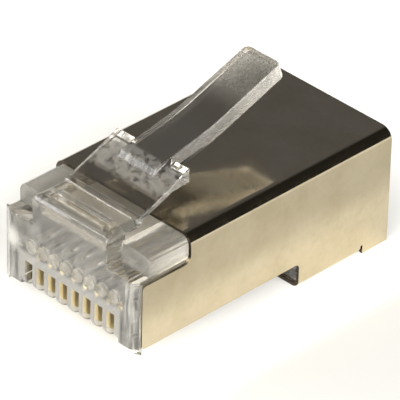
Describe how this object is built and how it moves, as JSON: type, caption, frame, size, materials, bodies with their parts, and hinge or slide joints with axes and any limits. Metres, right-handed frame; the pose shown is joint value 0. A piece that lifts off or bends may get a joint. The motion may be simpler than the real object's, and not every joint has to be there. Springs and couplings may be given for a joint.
{
  "type": "shielded modular plug",
  "caption": "Clear moulded modular plug in a folded metal shield, with gold-plated piercing contacts and a sprung latch lever.",
  "frame": {"origin": "middle of the footprint, on the underside of the shield's cable end", "axes": "+Y from the mating face to the cable end, +Z to the latch side, X across the ways"},
  "size_m": [0.0116, 0.0214, 0.0132],
  "materials": {
    "clear_housing": "clear moulded polycarbonate",
    "clear_latch": "clear moulded polycarbonate",
    "nickel_shield": "bright nickel plate on folded sheet",
    "gold_contact": "gold plate on phosphor bronze strip"
  },
  "bodies": {
    "plug_body": {"housing": "clear_housing", "shield": "nickel_shield", "contact_1": "gold_contact", "contact_2": "gold_contact", "contact_3": "gold_contact", "contact_4": "gold_contact", "contact_5": "gold_contact", "contact_6": "gold_contact", "contact_7": "gold_contact", "contact_8": "gold_contact"},
    "latch": {"latch_lever": "clear_latch"}
  },
  "joints": [
    {"name": "latch_flex", "type": "hinge", "parent": "plug_body", "child": "latch", "pos_m": [0, -0.00797, 0.00852], "axis": [-1, 0, 0], "range_deg": [0, 13], "stiffness_Nm_per_rad": 0.1}
  ]
}
